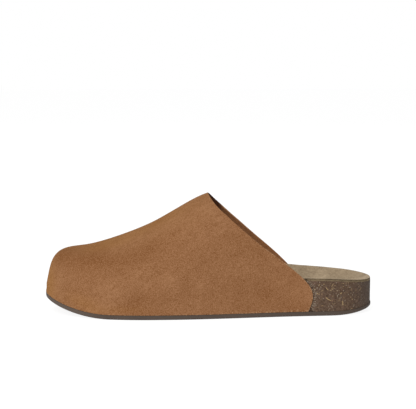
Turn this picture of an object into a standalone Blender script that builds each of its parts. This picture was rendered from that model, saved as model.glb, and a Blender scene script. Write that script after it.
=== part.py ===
"""Backless suede clog for the left foot, built as four pieces that sit in one another.

The toe points to -X, the outer side of the foot faces -Y and the sole rests on Z = 0.
Sizes are in millimetres, and a mesh is scaled to metres when it is made.
"""

import math
from collections import namedtuple

import bmesh
import bpy
import numpy as np

MM = 0.001

# Driving sizes of the shoe.
LENGTH = 280.0
BALL_WIDTH = 102.0
INSTEP_HEIGHT = 101.3
HEEL_HEIGHT = 33.0
OUTSOLE_THICKNESS = 4.0
UPPER_WALL = 1.8
INSOLE_THICKNESS = 2.4
SEAM_GAP = 0.3

# The outsole's underside is flat, and rolls up over a length at each end.
TOE_SPRING = 12.2
TOE_ROLL = 56.0
HEEL_RISE = 6.0
HEEL_ROLL = 35.0
EDGE_ROUND = 1.2

# Rounding of the outline at the toe and the heel, and where its ribs fan out.
TIP_OFFSET = 9.0
TOE_CAP = {"outer": 92.0, "inner": 74.0}
TOE_FULLNESS = {"outer": 2.15, "inner": 2.3}
HEEL_CAP = 44.0
HEEL_FULLNESS = 2.2
TOE_CENTRE = -94.0
HEEL_CENTRE = 102.0
FAN_BLEND = 16.0

# The cork stands inside the upper, and comes out to the outsole's edge behind it,
# where its foot lies a little further in than its rim.
HEEL_FOOT_INSET = 0.9
HEEL_RIM_INSET = 0.3
CORK_STEP_FROM = 94.0
CORK_STEP_TO = 128.0
RIM_ROUND = 0.5
TOP_INSET = 1.0

# The upper stands straight up past the rim at the heel, and leans in sooner at the toe.
RIM_MARGIN = 1.2
TOE_DROP = 7.0
LEAN_FROM = -90.0
LEAN_TO = 10.0

# The footbed's cup rises by a power of the share across it, up to a level lip.
CUP_POWER = 2.6
LIP_SHARE = 0.95

# Mesh steps: stations along one side of the sole, and steps of the upper's shell.
STATIONS = 30
CAP_STEPS = 14
SIDE_STEPS = 16
WALL_STEPS = 4
DOME_STEPS = 16

# Sections from toe to heel. The station is a share of the length, the two half widths
# and the ridge's lean to the inner side are shares of the ball width, the ridge is a
# share of the instep height, and the footbed's seat and rims above the outsole's
# underside are shares of the heel height. Fullness is the power of the arch's curve,
# and taper is the share by which the arch draws in on its way up.
Section = namedtuple(
    "Section", "station outer inner lean ridge fullness taper seat rim_outer rim_inner"
)
SECTIONS = [
    Section(0.00, 0.500, 0.500, 0.060, 0.547, 4.20, 0.14, 0.40, 0.50, 0.50),
    Section(0.14, 0.500, 0.500, 0.055, 0.556, 3.60, 0.12, 0.41, 0.52, 0.52),
    Section(0.25, 0.500, 0.500, 0.050, 0.650, 2.80, 0.06, 0.45, 0.58, 0.59),
    Section(0.34, 0.500, 0.490, 0.045, 0.758, 2.40, 0.03, 0.51, 0.64, 0.69),
    Section(0.42, 0.494, 0.458, 0.040, 0.889, 2.25, 0.00, 0.57, 0.72, 0.82),
    Section(0.50, 0.473, 0.412, 0.035, 0.998, 2.20, 0.00, 0.62, 0.82, 0.96),
    Section(0.62, 0.427, 0.355, 0.020, 1.030, 2.20, 0.00, 0.66, 0.94, 1.07),
    Section(0.75, 0.380, 0.326, 0.005, 1.030, 2.20, 0.00, 0.66, 0.98, 1.05),
    Section(0.88, 0.354, 0.342, 0.000, 1.030, 2.20, 0.00, 0.65, 0.92, 0.94),
    Section(0.95, 0.350, 0.345, 0.000, 1.030, 2.20, 0.00, 0.65, 0.82, 0.82),
    Section(1.00, 0.347, 0.347, 0.000, 1.030, 2.20, 0.00, 0.65, 0.685, 0.685),
]

# Rear edge of the upper, from the outsole up to the throat. The height is a share of
# the instep height, and the two places along the shoe are shares of its half length.
Collar = namedtuple("Collar", "height outer inner")
COLLAR = [
    Collar(0.035, 0.590, 0.560),
    Collar(0.102, 0.611, 0.580),
    Collar(0.171, 0.619, 0.588),
    Collar(0.251, 0.600, 0.566),
    Collar(0.311, 0.565, 0.528),
    Collar(0.444, 0.449, 0.430),
    Collar(0.614, 0.290, 0.288),
    Collar(0.840, 0.099, 0.106),
    Collar(1.000, -0.006, -0.006),
]

# Finishes as linear colour and roughness.
Finish = namedtuple("Finish", "red green blue roughness")
FINISHES = {
    "outsole": Finish(0.098, 0.074, 0.060, 0.75),
    "midsole": Finish(0.125, 0.078, 0.050, 0.85),
    "insole": Finish(0.330, 0.242, 0.155, 0.95),
    "upper": Finish(0.305, 0.141, 0.062, 0.95),
}

SIGN = {"outer": -1.0, "inner": 1.0}
TOE_TIP = -LENGTH / 2
HEEL_BACK = LENGTH / 2


def fair(rows, along, column):
    """Natural cubic curve through one column of a table, as a function of another."""
    places = np.array([getattr(row, along) for row in rows])
    values = np.array([getattr(row, column) for row in rows])
    gaps = np.diff(places)
    slopes = np.diff(values) / gaps
    system = np.eye(len(places))
    target = np.zeros(len(places))
    for i in range(1, len(places) - 1):
        system[i, i - 1 : i + 2] = gaps[i - 1], 2 * (gaps[i - 1] + gaps[i]), gaps[i]
        target[i] = 6 * (slopes[i] - slopes[i - 1])
    bend = np.linalg.solve(system, target)

    def value(place):
        i = int(np.clip(np.searchsorted(places, place) - 1, 0, len(gaps) - 1))
        gap = gaps[i]
        before = place - places[i]
        after = places[i + 1] - place
        curve = (bend[i] * after**3 + bend[i + 1] * before**3) / (6 * gap)
        start = (values[i] / gap - bend[i] * gap / 6) * after
        end = (values[i + 1] / gap - bend[i + 1] * gap / 6) * before
        return curve + start + end

    return value


SECTION_CURVES = {
    name: fair(SECTIONS, "station", name) for name in Section._fields[1:]
}
COLLAR_CURVES = {name: fair(COLLAR, "height", name) for name in Collar._fields[1:]}


def section(name, x):
    """Value of one section column at a place along the shoe."""
    return SECTION_CURVES[name](x / LENGTH + 0.5)


def soft_floor(value, floor, blend):
    """The value, held at or above a floor with a smooth bend between the two."""
    above = value - floor
    if above <= -blend:
        return floor
    if above >= blend:
        return value
    return floor + (above + blend) ** 2 / (4 * blend)


def ease(value, start, end):
    """Smooth step from 0 at the start to 1 at the end."""
    share = min(max((value - start) / (end - start), 0.0), 1.0)
    return share * share * (3 - 2 * share)


def rounded(share, power):
    """Height of a superellipse quarter at a share of its base."""
    return max(1 - min(max(share, 0.0), 1.0) ** power, 0.0) ** (1 / power)


def roll(x):
    """Height of the outsole's underside above the floor."""
    toe = max(TOE_TIP + TOE_ROLL - x, 0.0) / TOE_ROLL
    heel = max(x - HEEL_BACK + HEEL_ROLL, 0.0) / HEEL_ROLL
    return TOE_SPRING * toe**2 + HEEL_RISE * heel**2


def edge_y(side, x):
    """Sideways place of the sole's outline on one side of the shoe."""
    y = SIGN[side] * BALL_WIDTH * section(side, x)
    cap = TOE_CAP[side]
    toe = rounded((TOE_TIP + cap - x) / cap, TOE_FULLNESS[side])
    heel = rounded((x - HEEL_BACK + HEEL_CAP) / HEEL_CAP, HEEL_FULLNESS)
    return (TIP_OFFSET + (y - TIP_OFFSET) * toe) * heel


def spine(x):
    """Point of the middle line that the rib from an outline point runs to."""
    held = soft_floor(x, TOE_CENTRE, FAN_BLEND)
    held = -soft_floor(-held, -HEEL_CENTRE, FAN_BLEND)
    return held, BALL_WIDTH * section("lean", held)


def rim_height(side, x):
    """Height of the footbed's rim above the floor."""
    return roll(x) + HEEL_HEIGHT * section("rim_" + side, x)


def shell_point(side, x, row):
    """Point of the upper's outer face: rows -1 to 0 stand up along the sole and rows
    0 to 1 arch over to the ridge."""
    y = edge_y(side, x)
    foot = roll(x) + OUTSOLE_THICKNESS + SEAM_GAP
    drop = TOE_DROP * (1 - ease(x, LEAN_FROM, LEAN_TO))
    wall = rim_height(side, x) + RIM_MARGIN - drop
    if row <= 0:
        return x, y, foot + (wall - foot) * (row + 1)
    power = 2 / section("fullness", x)
    rise = math.sin(row * math.pi / 2) ** power
    reach = max(math.cos(row * math.pi / 2), 0.0) ** power
    reach *= 1 - section("taper", x) * rise
    middle_x = soft_floor(x, TOE_CENTRE, FAN_BLEND)
    middle_y = BALL_WIDTH * section("lean", middle_x)
    along = middle_x + (x - middle_x) * reach
    across = middle_y + (y - middle_y) * reach
    ridge = INSTEP_HEIGHT * section("ridge", along)
    return along, across, wall + (ridge - wall) * rise


def collar_end(side, row):
    """Place along the shoe at which a row of the upper meets its rear edge."""
    low, high = TOE_CENTRE + FAN_BLEND, HEEL_CENTRE
    for _ in range(40):
        middle = (low + high) / 2
        height = shell_point(side, middle, row)[2] / INSTEP_HEIGHT
        if middle < LENGTH / 2 * COLLAR_CURVES[side](height):
            low = middle
        else:
            high = middle
    return (low + high) / 2


def shell_row(row):
    """Points of one row of the upper, from the outer rear edge round the toe."""
    cap_end = TOE_CENTRE + FAN_BLEND
    halves = {}
    for side in SIGN:
        rear = collar_end(side, row)
        places = [
            TOE_TIP + (cap_end - TOE_TIP) * (1 - math.cos(math.pi / 2 * i / CAP_STEPS))
            for i in range(CAP_STEPS)
        ]
        places += [
            cap_end + (rear - cap_end) * i / SIDE_STEPS for i in range(SIDE_STEPS + 1)
        ]
        halves[side] = [shell_point(side, x, row) for x in places]
    return halves["outer"][::-1] + halves["inner"][1:]


def outline(inset):
    """Closed loop of the sole's outline, moved in by an inset that depends on x. Each
    point keeps the station that it was moved from."""
    turns = [math.pi * i / STATIONS for i in range(STATIONS + 1)]
    places = [TOE_TIP * math.cos(turn) for turn in turns]
    loop = [(x, edge_y("outer", x)) for x in places]
    loop += [(x, edge_y("inner", x)) for x in places[-2:0:-1]]
    moved = []
    for i, (x, y) in enumerate(loop):
        before = loop[i - 1]
        after = loop[(i + 1) % len(loop)]
        across, along = after[0] - before[0], after[1] - before[1]
        reach = inset(x) / math.hypot(across, along)
        moved.append((x - along * reach, y + across * reach, x))
    return moved


def ring(loop, share, height):
    """Points of a loop drawn in along its ribs, at heights given for each point."""
    points = []
    for i, (x, y, station) in enumerate(loop):
        middle_x, middle_y = spine(station)
        along = middle_x + (x - middle_x) * share
        across = middle_y + (y - middle_y) * share
        side = "outer" if i <= STATIONS else "inner"
        points.append((along, across, height(side, station, along, share)))
    return points


def footbed(side, x, share):
    """Height of the footbed's top on the rib from one outline point: a cup up to a
    level lip along the rim."""
    middle = spine(x)[0]
    seat = roll(middle) + HEEL_HEIGHT * section("seat", middle)
    cup = min(share / LIP_SHARE, 1.0) ** CUP_POWER
    return seat + (rim_height(side, x) - seat) * cup


def foot_inset(x):
    """Inset of the cork's foot from the outsole's outline."""
    hidden = UPPER_WALL + SEAM_GAP
    return hidden + (HEEL_FOOT_INSET - hidden) * ease(x, CORK_STEP_FROM, CORK_STEP_TO)


def rim_inset(x):
    """Inset of the cork's top and of the insole, clear of the upper's lean."""
    hidden = UPPER_WALL + SEAM_GAP
    leaning = TOP_INSET * (1 - ease(x, LEAN_FROM, LEAN_TO))
    step = (HEEL_RIM_INSET - hidden) * ease(x, CORK_STEP_FROM, CORK_STEP_TO)
    return hidden + leaning + step


def make_object(name, rings, closed):
    """Mesh object of rings joined one to the next, each a closed loop or an open row.
    Facing pieces list their rings in the same order, so that their facets lie alike."""
    mesh = bmesh.new()
    rows = [[mesh.verts.new(np.array(p) * MM) for p in points] for points in rings]
    count = len(rows[0])
    for first, second in zip(rows, rows[1:]):
        for i in range(count if closed else count - 1):
            j = (i + 1) % count
            mesh.faces.new((first[i], first[j], second[j]))
            mesh.faces.new((first[i], second[j], second[i]))
    bmesh.ops.remove_doubles(mesh, verts=mesh.verts, dist=0.00001)
    bmesh.ops.recalc_face_normals(mesh, faces=mesh.faces)
    data = bpy.data.meshes.new(name)
    mesh.to_mesh(data)
    mesh.free()
    made = bpy.data.objects.new(name, data)
    bpy.context.scene.collection.objects.link(made)
    finish = FINISHES[name]
    material = bpy.data.materials.new(name)
    material.use_nodes = True
    shader = material.node_tree.nodes["Principled BSDF"]
    shader.inputs["Base Color"].default_value = (*finish[:3], 1.0)
    shader.inputs["Roughness"].default_value = finish.roughness
    shader.inputs["Metallic"].default_value = 0.0
    data.materials.append(material)
    return made


def make_outsole():
    """Thin sole that follows the roll, with its lower edge rounded."""
    edge = outline(lambda x: 0.0)
    tread = outline(lambda x: EDGE_ROUND)
    part_way = outline(lambda x: EDGE_ROUND * 0.3)
    shares = (0.0, 0.25, 0.5, 0.75, 1.0)

    def level(lift):
        return lambda side, x, along, share: roll(along) + lift

    rings = [ring(tread, share, level(0.0)) for share in shares]
    rings.append(ring(part_way, 1.0, level(EDGE_ROUND * 0.3)))
    rings.append(ring(edge, 1.0, level(EDGE_ROUND)))
    rings += [ring(edge, share, level(OUTSOLE_THICKNESS)) for share in shares[::-1]]
    return make_object("outsole", rings, True)


def make_midsole():
    """Cork body from the outsole up to the underside of the insole."""
    edge = outline(foot_inset)
    rim = outline(rim_inset)
    under = OUTSOLE_THICKNESS + SEAM_GAP
    drop = INSOLE_THICKNESS + SEAM_GAP

    def waist_inset(x):
        return (foot_inset(x) + rim_inset(x)) / 2

    def base(side, x, along, share):
        return roll(along) + under

    def half(side, x, along, share):
        return (roll(along) + under + rim_height(side, x) - drop) / 2

    def top(side, x, along, share):
        return footbed(side, x, share) - drop

    rings = [
        ring(rim, share, top)
        for share in (0.0, 0.2, 0.4, 0.6, 0.75, 0.86, LIP_SHARE, 1.0)
    ]
    rings.append(ring(outline(waist_inset), 1.0, half))
    rings += [ring(edge, share, base) for share in (1.0, 0.75, 0.5, 0.25, 0.0)]
    return make_object("midsole", rings, True)


def make_insole():
    """Cover of the footbed, with a slightly rounded upper edge."""
    edge = outline(rim_inset)
    lip = outline(lambda x: rim_inset(x) + RIM_ROUND)
    shares = (0.0, 0.2, 0.4, 0.6, 0.75, 0.86, LIP_SHARE, 1.0)

    def under(side, x, along, share):
        return footbed(side, x, share) - INSOLE_THICKNESS

    def shoulder(side, x, along, share):
        return footbed(side, x, share) - RIM_ROUND

    def top(side, x, along, share):
        return footbed(side, x, share)

    rings = [ring(edge, share, under) for share in shares]
    rings.append(ring(edge, 1.0, shoulder))
    rings += [ring(lip, share, top) for share in shares[::-1]]
    return make_object("insole", rings, True)


def make_upper():
    """One hollow shell, closed over the toe and open at the collar and underneath."""
    levels = [i / WALL_STEPS - 1 for i in range(WALL_STEPS)]
    levels += [i / DOME_STEPS for i in range(DOME_STEPS + 1)]
    upper = make_object("upper", [shell_row(level) for level in levels], False)
    wall = upper.modifiers.new("wall", "SOLIDIFY")
    wall.thickness = UPPER_WALL * MM
    wall.offset = -1.0
    wall.use_even_offset = True
    wall.use_quality_normals = True
    return upper


for old in list(bpy.data.objects):
    bpy.data.objects.remove(old, do_unlink=True)
make_outsole()
make_midsole()
make_insole()
make_upper()
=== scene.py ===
import math
from collections import namedtuple

import bmesh
import bpy
import numpy as np
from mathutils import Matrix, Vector, noise


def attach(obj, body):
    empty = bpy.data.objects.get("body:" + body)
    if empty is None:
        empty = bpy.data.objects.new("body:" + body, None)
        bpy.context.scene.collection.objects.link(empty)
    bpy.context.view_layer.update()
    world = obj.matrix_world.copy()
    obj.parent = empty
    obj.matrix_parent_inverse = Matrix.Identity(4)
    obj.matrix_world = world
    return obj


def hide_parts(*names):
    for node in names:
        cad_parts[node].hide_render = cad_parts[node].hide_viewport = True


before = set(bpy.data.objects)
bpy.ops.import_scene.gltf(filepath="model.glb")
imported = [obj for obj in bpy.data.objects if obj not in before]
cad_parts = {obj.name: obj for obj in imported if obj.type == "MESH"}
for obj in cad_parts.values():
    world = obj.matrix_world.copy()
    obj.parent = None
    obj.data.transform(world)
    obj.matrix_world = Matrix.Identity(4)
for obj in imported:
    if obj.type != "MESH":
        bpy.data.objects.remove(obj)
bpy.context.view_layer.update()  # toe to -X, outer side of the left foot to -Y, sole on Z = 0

mm = 0.001  # sizes below are millimetres, meshes are metres
print("frame loaded:", ", ".join(sorted(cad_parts)))

# the last that every piece is worked out from: the solids' sizes, with small corrections
last = {
    "length": 280.0,
    "ballWidth": 102.0,
    "instepHeight": 101.3,
    "heelHeight": 33.0,
    "toeSpring": 12.2,
    "toeRoll": 56.0,
    "heelRise": 6.0,
    "heelRoll": 35.0,
    "heelSag": 1.6,  # the soft outsole hangs below the roll at its rear end, and thins there
    "heelThinning": 1.05,
    "tipOffset": 9.0,
    "toeCap": {"outer": 92.0, "inner": 74.0},
    "toeFullness": {"outer": 2.15, "inner": 2.3},
    "heelCap": 44.0,
    "heelFullness": 2.2,
    "toeCentre": -94.0,
    "heelCentre": 102.0,
    "fanBlend": 16.0,
    "rimMargin": 1.2,
    "toeDrop": 7.0,
    "leanFrom": -90.0,
    "leanTo": 10.0,
    "cupPower": 2.6,
    "lipShare": 0.95,
    "outsoleThickness": 3.75,  # 4.0 in the solid, less what the suede laps over
    "insoleThickness": 2.15,  # 2.4 in the solid, as its cut edge shows
    "upperWall": 1.8,
    "seam": 0.3,  # room between two solids
    "glueLine": 0.03,  # what is left of it to see
}

# shares of length, ball width, instep height and heel height, from toe to heel
Section = namedtuple(
    "Section", "station outer inner lean ridge fullness taper seat rimOuter rimInner"
)
sections = [
    Section(0.00, 0.500, 0.500, 0.060, 0.547, 4.50, 0.14, 0.40, 0.50, 0.50),
    Section(0.08, 0.500, 0.500, 0.057, 0.542, 4.14, 0.136, 0.402, 0.505, 0.505),
    Section(0.14, 0.500, 0.500, 0.055, 0.552, 3.90, 0.12, 0.41, 0.52, 0.52),
    Section(0.19, 0.500, 0.500, 0.053, 0.590, 3.31, 0.093, 0.424, 0.544, 0.545),
    Section(0.25, 0.500, 0.500, 0.050, 0.650, 2.80, 0.06, 0.45, 0.58, 0.59),
    Section(0.34, 0.500, 0.490, 0.045, 0.761, 2.40, 0.03, 0.51, 0.64, 0.69),
    Section(0.42, 0.494, 0.458, 0.040, 0.889, 2.25, 0.00, 0.57, 0.72, 0.82),
    Section(0.50, 0.473, 0.412, 0.035, 0.998, 2.20, 0.00, 0.62, 0.82, 0.96),
    Section(0.62, 0.427, 0.355, 0.020, 1.030, 2.20, 0.00, 0.66, 0.94, 1.07),
    Section(0.75, 0.380, 0.326, 0.005, 1.030, 2.20, 0.00, 0.66, 0.98, 1.058),
    Section(0.83, 0.361, 0.335, 0.001, 1.030, 2.20, 0.00, 0.653, 0.970, 0.986),
    Section(0.88, 0.354, 0.342, 0.000, 1.030, 2.20, 0.00, 0.65, 0.950, 0.948),
    Section(0.95, 0.350, 0.345, 0.000, 1.030, 2.20, 0.00, 0.65, 0.828, 0.838),
    Section(1.00, 0.347, 0.347, 0.000, 1.030, 2.20, 0.00, 0.65, 0.685, 0.685),
]

# rear edge of the upper: height as a share of the instep, places as shares of half the length
Collar = namedtuple("Collar", "height outer inner")
collar = [
    Collar(0.035, 0.590, 0.560),
    Collar(0.102, 0.611, 0.580),
    Collar(0.171, 0.619, 0.588),
    Collar(0.251, 0.600, 0.566),
    Collar(0.311, 0.565, 0.531),
    Collar(0.444, 0.454, 0.4352),
    Collar(0.614, 0.293, 0.2945),
    Collar(0.730, 0.1932, 0.2004),
    Collar(0.840, 0.103, 0.113),
    Collar(0.940, 0.027, 0.038),
    Collar(1.000, -0.004, -0.004),
]

sideSign = {"outer": -1.0, "inner": 1.0}
toeTip = -last["length"] / 2
heelBack = last["length"] / 2


def fair(rows, along, column):
    # natural cubic through one column of a table
    places = np.array([getattr(row, along) for row in rows])
    values = np.array([getattr(row, column) for row in rows])
    gaps = np.diff(places)
    slopes = np.diff(values) / gaps
    system = np.eye(len(places))
    target = np.zeros(len(places))
    for i in range(1, len(places) - 1):
        system[i, i - 1 : i + 2] = gaps[i - 1], 2 * (gaps[i - 1] + gaps[i]), gaps[i]
        target[i] = 6 * (slopes[i] - slopes[i - 1])
    bend = np.linalg.solve(system, target)

    def value(place):
        i = int(np.clip(np.searchsorted(places, place) - 1, 0, len(gaps) - 1))
        gap = gaps[i]
        before = place - places[i]
        after = places[i + 1] - place
        curve = (bend[i] * after**3 + bend[i + 1] * before**3) / (6 * gap)
        start = (values[i] / gap - bend[i] * gap / 6) * after
        end = (values[i + 1] / gap - bend[i + 1] * gap / 6) * before
        return curve + start + end

    return value


sectionCurves = {name: fair(sections, "station", name) for name in Section._fields[1:]}
collarCurves = {name: fair(collar, "height", name) for name in Collar._fields[1:]}


def sectionAt(name, x):
    return sectionCurves[name](x / last["length"] + 0.5)


def softFloor(value, floor, blend):
    # the value, kept above a floor with a smooth bend between them
    above = value - floor
    if above <= -blend:
        return floor
    if above >= blend:
        return value
    return floor + (above + blend) ** 2 / (4 * blend)


def ease(value, start, end):
    share = min(max((value - start) / (end - start), 0.0), 1.0)
    return share * share * (3 - 2 * share)


def rounded(share, power):
    # height of a superellipse quarter at a share of its base
    return max(1 - min(max(share, 0.0), 1.0) ** power, 0.0) ** (1 / power)


def heelShare(x):
    return max(x - heelBack + last["heelRoll"], 0.0) / last["heelRoll"]


def roll(x):
    # how far both ends of the last are lifted off the floor
    toe = max(toeTip + last["toeRoll"] - x, 0.0) / last["toeRoll"]
    return last["toeSpring"] * toe**2 + last["heelRise"] * heelShare(x) ** 2


def soleUnder(x):
    return roll(x) - last["heelSag"] * heelShare(x) ** 2


def soleTop(x):
    return soleUnder(x) + last["outsoleThickness"] - last["heelThinning"] * heelShare(x)


def edgeY(side, x):
    # the sole's outline seen from above
    y = sideSign[side] * last["ballWidth"] * sectionAt(side, x)
    cap = last["toeCap"][side]
    toe = rounded((toeTip + cap - x) / cap, last["toeFullness"][side])
    heel = rounded((x - heelBack + last["heelCap"]) / last["heelCap"], last["heelFullness"])
    return (last["tipOffset"] + (y - last["tipOffset"]) * toe) * heel


def spineAt(x):
    # middle line that the ribs of the sole run to
    held = softFloor(x, last["toeCentre"], last["fanBlend"])
    held = -softFloor(-held, -last["heelCentre"], last["fanBlend"])
    return held, last["ballWidth"] * sectionAt("lean", held)


def rimHeight(side, x):
    return roll(x) + last["heelHeight"] * sectionAt("rim" + side.capitalize(), x)


def footbedHeight(side, x, share):
    # the footbed's cup, up to a level lip along its rim
    middle = spineAt(x)[0]
    seat = roll(middle) + last["heelHeight"] * sectionAt("seat", middle)
    cup = min(share / last["lipShare"], 1.0) ** last["cupPower"]
    return seat + (rimHeight(side, x) - seat) * cup


def outlineLoop(inset, stations):
    # closed loop of (x, y, station), moved in by an inset that depends on x
    turns = [math.pi * i / stations for i in range(stations + 1)]
    places = [toeTip * math.cos(turn) for turn in turns]
    loop = [(x, edgeY("outer", x)) for x in places]
    loop += [(x, edgeY("inner", x)) for x in places[-2:0:-1]]
    moved = []
    for i, (x, y) in enumerate(loop):
        before = loop[i - 1]
        after = loop[(i + 1) % len(loop)]
        across, along = after[0] - before[0], after[1] - before[1]
        reach = inset(x) / math.hypot(across, along)
        moved.append((x - along * reach, y + across * reach, x))
    return moved


def ringAt(loop, share, height):
    # a loop drawn in along its ribs, with a height for each point
    points = []
    half = len(loop) // 2
    for i, (x, y, station) in enumerate(loop):
        middleX, middleY = spineAt(station)
        along = middleX + (x - middleX) * share
        across = middleY + (y - middleY) * share
        side = "outer" if i <= half else "inner"
        points.append((along, across, height(side, station, along, share)))
    return points


def meshFromRings(name, rings, closed, slots=None, maps=None):
    # rings joined one to the next; slots gives each band's material, maps a vector for each point
    mesh = bmesh.new()
    layers = {key: mesh.verts.layers.float_vector.new(key) for key in maps or {}}
    rows = []
    for r, ring in enumerate(rings):
        row = []
        for i, point in enumerate(ring):
            vert = mesh.verts.new(np.array(point) * mm)
            for key, layer in layers.items():
                vert[layer] = maps[key][r][i]
            row.append(vert)
        rows.append(row)
    count = len(rows[0])
    for r in range(len(rows) - 1):
        for i in range(count if closed else count - 1):
            j = (i + 1) % count
            face = mesh.faces.new((rows[r][i], rows[r][j], rows[r + 1][j], rows[r + 1][i]))
            face.smooth = True
            face.material_index = slots[r] if slots else 0
    bmesh.ops.remove_doubles(mesh, verts=mesh.verts, dist=0.01 * mm)  # closes the end points
    bmesh.ops.recalc_face_normals(mesh, faces=mesh.faces)
    data = bpy.data.meshes.new(name)
    mesh.to_mesh(data)
    mesh.free()
    piece = bpy.data.objects.new(name, data)
    bpy.context.scene.collection.objects.link(piece)
    return piece


def dress(piece, node, materials):
    # the piece stands for a solid of the frame, which it hides, and takes the finishes given
    for material in materials:
        piece.data.materials.append(material)
    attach(piece, "root")
    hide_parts(node)
    print("piece made:", piece.name, len(piece.data.polygons), "faces")


# shader helpers
def addNode(tree, kind, values=None, **options):
    made = tree.nodes.new(kind)
    for name, value in options.items():
        setattr(made, name, value)
    for name, value in (values or {}).items():
        if isinstance(value, bpy.types.NodeSocket):
            tree.links.new(value, made.inputs[name])
        else:
            made.inputs[name].default_value = value
    return made


def calc(tree, operation, a, b=0.0, c=0.0):
    return addNode(tree, "ShaderNodeMath", {0: a, 1: b, 2: c}, operation=operation).outputs[0]


def blendColour(tree, factor, a, b, blend="MIX"):
    made = addNode(
        tree, "ShaderNodeMix", {0: factor, 6: a, 7: b}, data_type="RGBA", blend_type=blend
    )
    return made.outputs[2]


def remap(tree, value, fromLow, fromHigh, toLow=0.0, toHigh=1.0):
    made = addNode(
        tree,
        "ShaderNodeMapRange",
        {0: value, 1: fromLow, 2: fromHigh, 3: toLow, 4: toHigh},
        interpolation_type="SMOOTHSTEP",
    )
    return made.outputs[0]


def noiseAt(tree, vector, scale, detail=2.0, rough=0.5):
    values = {"Vector": vector, "Scale": scale, "Detail": detail, "Roughness": rough}
    return addNode(tree, "ShaderNodeTexNoise", values)


def vectorMath(tree, operation, a, b, c=(0.0, 0.0, 0.0)):
    values = {0: a, 1: b, 2: c}
    return addNode(tree, "ShaderNodeVectorMath", values, operation=operation).outputs[0]


def turnedBy(tree, vector, angle, axis):
    values = {"Vector": vector, "Angle": angle}
    return addNode(tree, "ShaderNodeVectorRotate", values, rotation_type=axis).outputs[0]


def paintedShade(tree, name):
    return addNode(tree, "ShaderNodeAttribute", attribute_name=name).outputs["Fac"]


def objectPlace(tree):
    return addNode(tree, "ShaderNodeTexCoord").outputs["Object"]


def placeAlong(tree):
    return addNode(tree, "ShaderNodeSeparateXYZ", {0: objectPlace(tree)}).outputs[0]


def joinSurface(tree, shader, look, colour, rough, height):
    values = {"Height": height, "Strength": look["bump"], "Distance": look["bumpDepth"]}
    normal = addNode(tree, "ShaderNodeBump", values).outputs["Normal"]
    for socket, value in (("Base Color", colour), ("Roughness", rough), ("Normal", normal)):
        tree.links.new(value, shader.inputs[socket])


def newGroup(name, inputs, outputs):
    group = bpy.data.node_groups.new(name, "ShaderNodeTree")
    for label, value in inputs.items():
        kind = "NodeSocketVector" if isinstance(value, tuple) else "NodeSocketFloat"
        socket = group.interface.new_socket(label, in_out="INPUT", socket_type=kind)
        socket.default_value = value
    for label in outputs:
        group.interface.new_socket(label, in_out="OUTPUT", socket_type="NodeSocketFloat")
    return group, group.nodes.new("NodeGroupInput"), group.nodes.new("NodeGroupOutput")


def placeGroup(tree, group, values):
    return addNode(tree, "ShaderNodeGroup", values, node_tree=group)


def newMaterial(name, look):
    material = bpy.data.materials.new(name)
    material.use_nodes = True
    shader = material.node_tree.nodes["Principled BSDF"]
    for socket, value in look["shader"].items():
        shader.inputs[socket].default_value = value
    return material, material.node_tree, shader


def centred(tree, value):
    # from a range of 0 to 1 to one of -1 to 1
    return calc(tree, "MULTIPLY_ADD", value, 2.0, -1.0)


# short brushed fibres, the grain they make, and the streaks and soft patches that they lie in
napFibres = {
    "sizes": {"Fibre": 0.0006, "Grain": 0.0014, "Tuft": 0.0032, "Streak": 0.0035, "Patch": 0.016},
    "roughness": {"Fibre": 0.6, "Grain": 0.7, "Tuft": 0.6, "Streak": 0.65, "Patch": 0.6},
    "heights": {"Grain": 0.7, "Streak": 0.4},  # beside the fibre's own
    "turn": 35.0,  # degrees that the streaks rise by
    "draw": (0.22, 0.6, 1.0),  # streaks are drawn out along the first axis
}


def makeNapGroup():
    sizes = napFibres["sizes"]
    inputs = {label + " Size": size for label, size in sizes.items()}
    group, given, result = newGroup("brushedNap", inputs, (*sizes, "Height"))
    place = objectPlace(group)
    turned = turnedBy(group, place, math.radians(napFibres["turn"]), "Y_AXIS")
    drawn = vectorMath(group, "MULTIPLY", turned, napFibres["draw"])
    values = {}
    for label, rough in napFibres["roughness"].items():
        vector = drawn if label == "Streak" else place
        scale = calc(group, "DIVIDE", 1.0, given.outputs[label + " Size"])
        values[label] = noiseAt(group, vector, scale, 2.0, rough).outputs["Fac"]
        group.links.new(centred(group, values[label]), result.inputs[label])
    height = values["Fibre"]
    for label, share in napFibres["heights"].items():
        height = calc(group, "MULTIPLY_ADD", values[label], share, height)
    group.links.new(height, result.inputs["Height"])
    return group


def makeMottleGroup():
    # cloudy shade and a fine pebble for moulded and pressed stuff
    group, given, result = newGroup(
        "cloudAndPebble",
        {"Cloud Size": 0.02, "Pebble Size": 0.001},
        ("Cloud", "Pebble", "Height"),
    )
    place = objectPlace(group)
    cloudScale = calc(group, "DIVIDE", 1.0, given.outputs["Cloud Size"])
    pebbleScale = calc(group, "DIVIDE", 1.0, given.outputs["Pebble Size"])
    cloud = noiseAt(group, place, cloudScale, 3.0, 0.55).outputs["Fac"]
    cell = addNode(group, "ShaderNodeTexVoronoi", {"Vector": place, "Scale": pebbleScale})
    grain = noiseAt(group, place, pebbleScale, 2.0, 0.6).outputs["Fac"]
    group.links.new(centred(group, cloud), result.inputs["Cloud"])
    group.links.new(centred(group, grain), result.inputs["Pebble"])
    dome = calc(group, "MULTIPLY_ADD", cell.outputs["Distance"], -1.0, 1.0)
    group.links.new(calc(group, "MULTIPLY_ADD", grain, 0.5, dome), result.inputs["Height"])
    return group


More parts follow.
